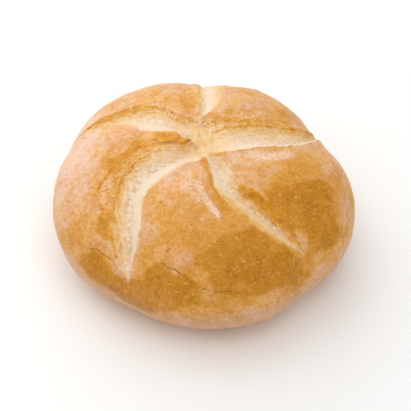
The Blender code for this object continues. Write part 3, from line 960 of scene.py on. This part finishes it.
def wheat_crust_and_crumb():
    """Wheat dough baked on a tray: a satin crust of little gloss, and matt cream to golden dough where it
    tore.

    The crust's starch browned unevenly, so the eye gets rosy, golden and brown blotches with pale flecks.
    The torn dough is streaked along the tear, and its open bubbles get painted grey shade. Painted shade
    darkens the crust's lower side, cracks and pits, and its floury streaks carry painted glints.
    """
    material = bpy.data.materials.new("wheat_crust_and_crumb")
    material.use_nodes = True
    tree = material.node_tree
    shader = tree.nodes["Principled BSDF"]
    place = add_node(tree, "TexCoord", output="Object")
    marks = {name: add_node(tree, "Attribute", output="Fac", attribute_name=name) for name in MARKS}
    patterns = {}
    for name, (size, detail) in PATTERNS.items():
        lumps = {"Vector": place, "Scale": 1.0 / size, "Detail": detail}
        patterns[name] = add_node(tree, "TexNoise", lumps)
    mottle = patterns["mottle"]
    blotch = {"Value": mottle, "From Min": 0.38, "From Max": 0.62, "To Min": -0.05, "To Max": 0.05}
    blotch = add_node(tree, "MapRange", blotch, interpolation_type="SMOOTHSTEP")
    crust = crust_colour(tree, marks, patterns, blotch)
    dough = dough_colour(tree, marks, patterns, blotch)

    # The line between crust and dough, crisp or soft
    fray = {"Value": patterns["grain"], "From Min": 0.3, "From Max": 0.7, "To Min": -0.9, "To Max": 0.9}
    fray = add_node(tree, "MapRange", fray)
    is_torn = add_node(tree, "Math", {0: marks["torn"], 1: fray}, operation="ADD")
    is_torn = {"Value": is_torn, "From Min": -1.0}
    is_torn = add_node(tree, "MapRange", is_torn, interpolation_type="SMOOTHSTEP")
    surface = add_node(tree, "Mix", {0: is_torn, 6: crust, 7: dough}, output=2, data_type="RGBA")
    surface = scorched_colour(tree, marks, patterns, surface)
    tree.links.new(surface, shader.inputs["Base Color"])

    gloss = {"Value": is_torn, "To Min": CRUST_ROUGHNESS, "To Max": DOUGH_ROUGHNESS}
    gloss = add_node(tree, "MapRange", gloss)
    tree.links.new(gloss, shader.inputs["Roughness"])
    height = add_node(tree, "Math", {0: patterns["grain"], 1: patterns["flecks"]}, operation="ADD")
    bump = add_node(tree, "Bump", {"Strength": 0.8, "Distance": BUMP_HEIGHT, "Height": height})
    tree.links.new(bump, shader.inputs["Normal"])
    shader.inputs["Specular IOR Level"].default_value = 0.15
    shader.inputs["Subsurface Weight"].default_value = 0.10
    shader.inputs["Subsurface Radius"].default_value = (1.0, 0.5, 0.25)
    shader.inputs["Subsurface Scale"].default_value = LIGHT_DEPTH
    return material


# Studio
CAMERA_BEARING = 270.0  # from +X, so the camera looks along +Y
CAMERA_ELEVATION = 48.0
CAMERA_DISTANCE = 0.60
CAMERA_LENS = 145.0
CAMERA_AIM = Vector((0.00076, -0.0025, 0.0227))
FLOOR_SIZE = 4.0
FLOOR_COLOUR = "#fafaf9"
SURROUNDING_LIGHT = 0.50

# Softboxes: (name, bearing from +X, elevation, distance, width, watts)
SOFTBOXES = (
    ("back_softbox", 115.0, 50.0, 0.9, 1.1, 2.3),
    ("low_back_softbox", 110.0, 16.0, 1.0, 1.0, 2.3),
    ("left_softbox", 175.0, 45.0, 0.9, 0.9, 1.6),
    ("front_softbox", 285.0, 60.0, 1.1, 1.0, 2.8),
    ("top_softbox", 0.0, 88.0, 1.0, 0.9, 1.5),
)


def from_the_roll(bearing, elevation, distance):
    """A point seen from the roll at a bearing, an elevation and a distance."""
    round_it = np.radians(bearing)
    above = np.radians(elevation)
    run = np.cos(above)
    return CAMERA_AIM + distance * Vector((np.cos(round_it) * run, np.sin(round_it) * run, np.sin(above)))


def look_at_roll(thing, bearing, elevation, distance):
    """Puts a camera or a light round the roll, turned to it."""
    thing.location = from_the_roll(bearing, elevation, distance)
    thing.rotation_euler = (CAMERA_AIM - thing.location).to_track_quat("-Z", "Y").to_euler()
    bpy.context.scene.collection.objects.link(thing)


def studio_camera():
    """The camera, looking down at the roll from the front."""
    camera = bpy.data.objects.new("studio_camera", bpy.data.cameras.new("studio_camera"))
    camera.data.lens = CAMERA_LENS
    look_at_roll(camera, CAMERA_BEARING, CAMERA_ELEVATION, CAMERA_DISTANCE)
    bpy.context.scene.camera = camera
    bpy.context.scene.view_settings.view_transform = "Standard"


def softboxes():
    """The square lights round the roll."""
    for name, bearing, elevation, distance, width, watts in SOFTBOXES:
        light = bpy.data.lights.new(name, "AREA")
        light.size = width
        light.energy = watts
        softbox = bpy.data.objects.new(name, light)
        softbox.visible_camera = False
        look_at_roll(softbox, bearing, elevation, distance)


def white_surroundings():
    """An even white world that fills the shadows."""
    world = bpy.data.worlds.new("white_surroundings")
    world.use_nodes = True
    background = world.node_tree.nodes["Background"]
    background.inputs["Color"].default_value = (1.0, 1.0, 1.0, 1.0)
    background.inputs["Strength"].default_value = SURROUNDING_LIGHT
    bpy.context.scene.world = world


def white_paper_floor():
    """The pale floor that the roll stands on, in matt white paper."""
    shape = bmesh.new()
    bmesh.ops.create_grid(shape, x_segments=1, y_segments=1, size=0.5 * FLOOR_SIZE)
    mesh = bpy.data.meshes.new("floor")
    shape.to_mesh(mesh)
    shape.free()
    floor = bpy.data.objects.new("floor", mesh)
    bpy.context.scene.collection.objects.link(floor)
    paper = bpy.data.materials.new("white_paper_sweep")
    paper.use_nodes = True
    shader = paper.node_tree.nodes["Principled BSDF"]
    shader.inputs["Base Color"].default_value = linear(FLOOR_COLOUR)
    shader.inputs["Roughness"].default_value = 0.9
    mesh.materials.append(paper)


studio_camera()
softboxes()
white_surroundings()
white_paper_floor()
crust = bread_roll_crust()
crust.data.materials.append(wheat_crust_and_crumb())
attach(crust, "root")
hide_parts("bread_roll")
